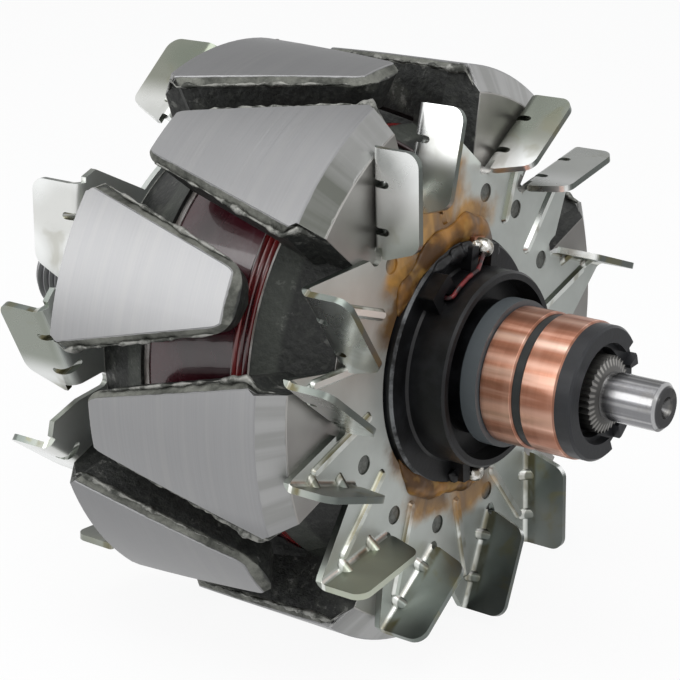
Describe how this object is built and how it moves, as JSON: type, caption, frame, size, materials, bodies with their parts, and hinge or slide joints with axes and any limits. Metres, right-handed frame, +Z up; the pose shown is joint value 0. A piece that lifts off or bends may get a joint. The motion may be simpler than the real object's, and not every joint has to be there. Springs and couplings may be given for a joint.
{
  "type": "alternator rotor",
  "caption": "Claw-pole alternator rotor: interleaved steel poles round a field coil, a stamped fan at each end and copper slip rings on a splined shaft.",
  "frame": {"origin": "on the shaft's axis, at the middle of the shaft's length", "axes": "+X along the shaft towards the slip rings, +Z up as pictured"},
  "size_m": [0.132, 0.098, 0.098],
  "materials": {
    "shaft_steel": "ground and turned, light oil film",
    "pole_steel": "turned bright on the outside, dark varnish on the sides and in the notches",
    "bobbin_nylon": "moulded, with a film of varnish",
    "enamelled_wire": "enamel and glossy impregnating varnish",
    "zinc_sheet": "stamped steel with zinc plating",
    "black_moulding": "moulded, satin",
    "ring_copper": "turned, with brush tracks",
    "solder": "bright and lumpy",
    "amber_resin": "cured drips"
  },
  "bodies": {
    "root": {"shaft": "shaft_steel", "pole_core": "pole_steel", "winding_bobbin": "bobbin_nylon", "field_winding": "enamelled_wire", "drive_end_claw_pole": "pole_steel", "slip_ring_end_claw_pole": "pole_steel", "drive_end_fan": "zinc_sheet", "slip_ring_end_fan": "zinc_sheet", "slip_ring_moulding": "black_moulding", "inner_slip_ring": "ring_copper", "outer_slip_ring": "ring_copper", "inner_ring_conductor": "ring_copper", "outer_ring_conductor": "ring_copper", "upper_winding_lead": "enamelled_wire", "lower_winding_lead": "enamelled_wire", "upper_solder_joint": "solder", "lower_solder_joint": "solder", "upper_resin_seal": "amber_resin", "lower_resin_seal": "amber_resin"}
  },
  "joints": []
}
